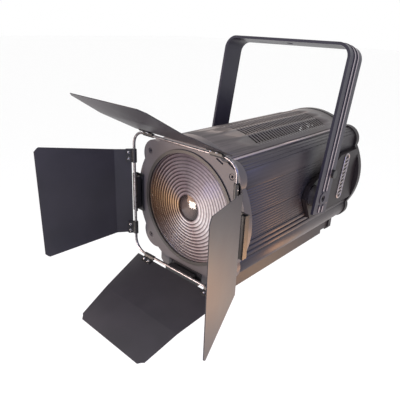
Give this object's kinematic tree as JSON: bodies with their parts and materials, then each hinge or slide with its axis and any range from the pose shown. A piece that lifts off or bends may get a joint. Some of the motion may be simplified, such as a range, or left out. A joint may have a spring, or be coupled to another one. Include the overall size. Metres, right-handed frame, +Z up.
{
  "type": "fresnel spotlight",
  "caption": "Studio fresnel spotlight: finned box-and-barrel head with ringed lens in a tilting U yoke, and a hinged-leaf barndoor on a square rod frame.",
  "frame": {"origin": "centre of the mounting hole in the yoke's crossbar, at the middle of the bar's thickness", "axes": "+X across the lamp, +Y from the lens towards the rear plate along the optical axis, +Z up"},
  "size_m": [0.3749, 0.6026, 0.451],
  "materials": {
    "yoke_paint": "black powder coat",
    "leaf_paint": "black powder coat",
    "frame_paint": "cast, black powder coat",
    "shell_paint": "black powder coat",
    "dark_metal": "matt black paint",
    "anodised": "anodised",
    "bright_aluminium": "machined",
    "rod_steel": "bright drawn",
    "screw_steel": "zinc plated",
    "black_plastic": "moulded",
    "lens_glass": "pressed",
    "window_glass": "clear",
    "rubber": "moulded",
    "board": "circuit board",
    "brass": "turned"
  },
  "bodies": {
    "yoke": {"yoke_bar": "yoke_paint"},
    "head": {"base_end": "shell_paint", "base_housing": "shell_paint", "base_tray": "shell_paint", "bracket_bottom": "dark_metal", "bracket_left": "dark_metal", "bracket_right": "dark_metal", "carriage_supports": "dark_metal", "control_board": "board", "data_sockets": "black_plastic", "display_window": "window_glass", "fan_grille": "dark_metal", "fan_housing": "black_plastic", "feet": "rubber", "fresnel_lens": "lens_glass", "front_frame": "frame_paint", "fuse_holder": "black_plastic", "guide_rails": "rod_steel", "lens_rings": "dark_metal", "plate_screws": "screw_steel", "power_inlet": "black_plastic", "power_outlet": "black_plastic", "power_supply": "bright_aluminium", "rear_plate": "frame_paint", "safety_eye": "dark_metal", "side_extrusion_left": "anodised", "side_extrusion_right": "anodised", "side_louvres": "anodised", "side_pod_left": "shell_paint", "side_pod_right": "shell_paint", "switch_board": "board", "tilt_bolts": "screw_steel", "tilt_hubs": "anodised", "top_cover": "shell_paint"},
    "barndoor": {"rod_frame": "rod_steel", "rod_tabs": "dark_metal"},
    "left leaf": {"leaf_left": "leaf_paint", "clips_left": "dark_metal"},
    "right leaf": {"leaf_right": "leaf_paint", "clips_right": "dark_metal"},
    "top leaf": {"leaf_top": "leaf_paint", "clips_top": "dark_metal"},
    "bottom leaf": {"leaf_bottom": "leaf_paint", "clips_bottom": "dark_metal"},
    "carriage": {"carriage_plate": "anodised", "carriage_bushes": "brass", "drive_nut": "brass", "led_board": "board", "reflector": "bright_aluminium", "heat_sink": "anodised"},
    "zoom drive": {"zoom_screw": "rod_steel", "zoom_knob": "black_plastic"},
    "fan": {"fan_rotor": "black_plastic"},
    "tilt handle": {"tilt_handle": "black_plastic"},
    "thumb screw": {"arm_thumb_screw": "black_plastic"},
    "button 1": {"menu_button_1": "black_plastic"},
    "button 2": {"menu_button_2": "black_plastic"},
    "button 3": {"menu_button_3": "black_plastic"},
    "button 4": {"menu_button_4": "black_plastic"}
  },
  "joints": [
    {"name": "head_tilt", "type": "hinge", "parent": "yoke", "child": "head", "pos_m": [0, -0.04935, -0.26626], "axis": [1, 0, 0], "range_deg": [-45, 90]},
    {"name": "barndoor_slide", "type": "slide", "parent": "head", "child": "barndoor", "axis": [0, 0, 1], "range_m": [0, 0.25]},
    {"name": "left_leaf_hinge", "type": "hinge", "parent": "barndoor", "child": "left leaf", "pos_m": [-0.117, -0.28785, -0.26626], "axis": [0, 0, -1], "range_deg": [-26.6, 53.4]},
    {"name": "right_leaf_hinge", "type": "hinge", "parent": "barndoor", "child": "right leaf", "pos_m": [0.117, -0.28785, -0.26626], "axis": [0, 0, 1], "range_deg": [-33.9, 46.1]},
    {"name": "top_leaf_hinge", "type": "hinge", "parent": "barndoor", "child": "top leaf", "pos_m": [0, -0.28785, -0.14927], "axis": [-1, 0, 0], "range_deg": [-50.8, 58.2]},
    {"name": "bottom_leaf_hinge", "type": "hinge", "parent": "barndoor", "child": "bottom leaf", "pos_m": [0, -0.28785, -0.38327], "axis": [1, 0, 0], "range_deg": [-42.4, 66.6]},
    {"name": "zoom_knob_turn", "type": "hinge", "parent": "head", "child": "zoom drive", "pos_m": [0, 0.13515, -0.32826], "axis": [0, -1, 0], "range_deg": [0, 1082]},
    {"name": "zoom_travel", "type": "slide", "parent": "head", "child": "carriage", "axis": [0, -1, 0], "range_m": [0, 0.06]},
    {"name": "fan_spin", "type": "hinge", "parent": "head", "child": "fan", "pos_m": [0, 0.11215, -0.20427], "axis": [0, 1, 0], "continuous": true},
    {"name": "tilt_handle_turn", "type": "hinge", "parent": "yoke", "child": "tilt handle", "pos_m": [-0.14, -0.04935, -0.26626], "axis": [1, 0, 0], "range_deg": [-120, 120]},
    {"name": "thumb_screw_turn", "type": "hinge", "parent": "yoke", "child": "thumb screw", "pos_m": [0.138, -0.02505, -0.22297], "axis": [1, 0, 0], "range_deg": [-180, 180]},
    {"name": "menu_button_1_press", "type": "slide", "parent": "head", "child": "button 1", "axis": [0, -1, 0], "range_m": [0, 0.0015], "stiffness_N_per_m": 600, "springref_m": -0.0005},
    {"name": "menu_button_2_press", "type": "slide", "parent": "head", "child": "button 2", "axis": [0, -1, 0], "range_m": [0, 0.0015], "stiffness_N_per_m": 600, "springref_m": -0.0005},
    {"name": "menu_button_3_press", "type": "slide", "parent": "head", "child": "button 3", "axis": [0, -1, 0], "range_m": [0, 0.0015], "stiffness_N_per_m": 600, "springref_m": -0.0005},
    {"name": "menu_button_4_press", "type": "slide", "parent": "head", "child": "button 4", "axis": [0, -1, 0], "range_m": [0, 0.0015], "stiffness_N_per_m": 600, "springref_m": -0.0005}
  ],
  "couplings": [
    {"joint": "zoom_knob_turn", "follows": "zoom_travel", "rad_per_m": 314.16}
  ]
}
